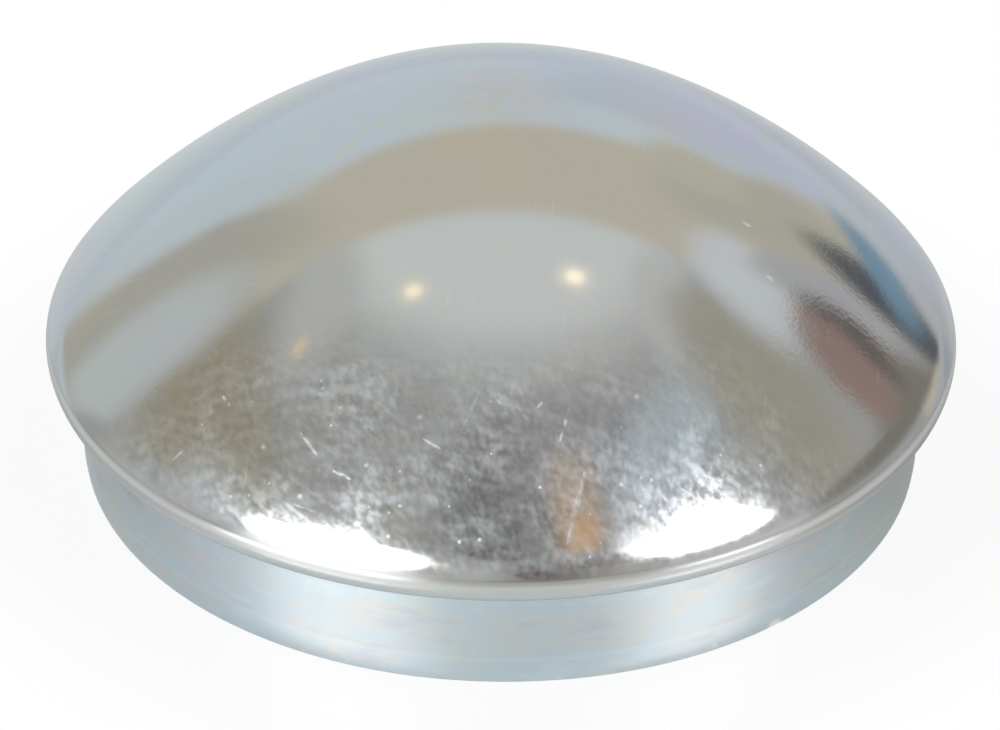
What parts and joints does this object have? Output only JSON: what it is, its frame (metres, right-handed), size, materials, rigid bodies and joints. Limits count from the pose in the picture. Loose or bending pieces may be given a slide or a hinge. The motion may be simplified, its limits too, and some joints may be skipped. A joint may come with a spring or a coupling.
{
  "type": "hub grease cap",
  "caption": "Round pressed steel hub grease cap: a low dome whose rim is folded under into a short straight skirt that presses into a wheel hub and keeps the bearing grease in.",
  "frame": {"origin": "centre of the skirt's cut edge, which is the face the cap stands on", "axes": "+Z along the cap's axis, out of the hub towards the top of the dome; the cap is round, so X and Y are free"},
  "size_m": [0.06, 0.06, 0.0253],
  "materials": {
    "zinc_plate": "pressed steel with bright zinc plate and a clear blue passivate, lightly mottled and scuffed"
  },
  "bodies": {
    "root": {"grease_cap": "zinc_plate"}
  },
  "joints": []
}
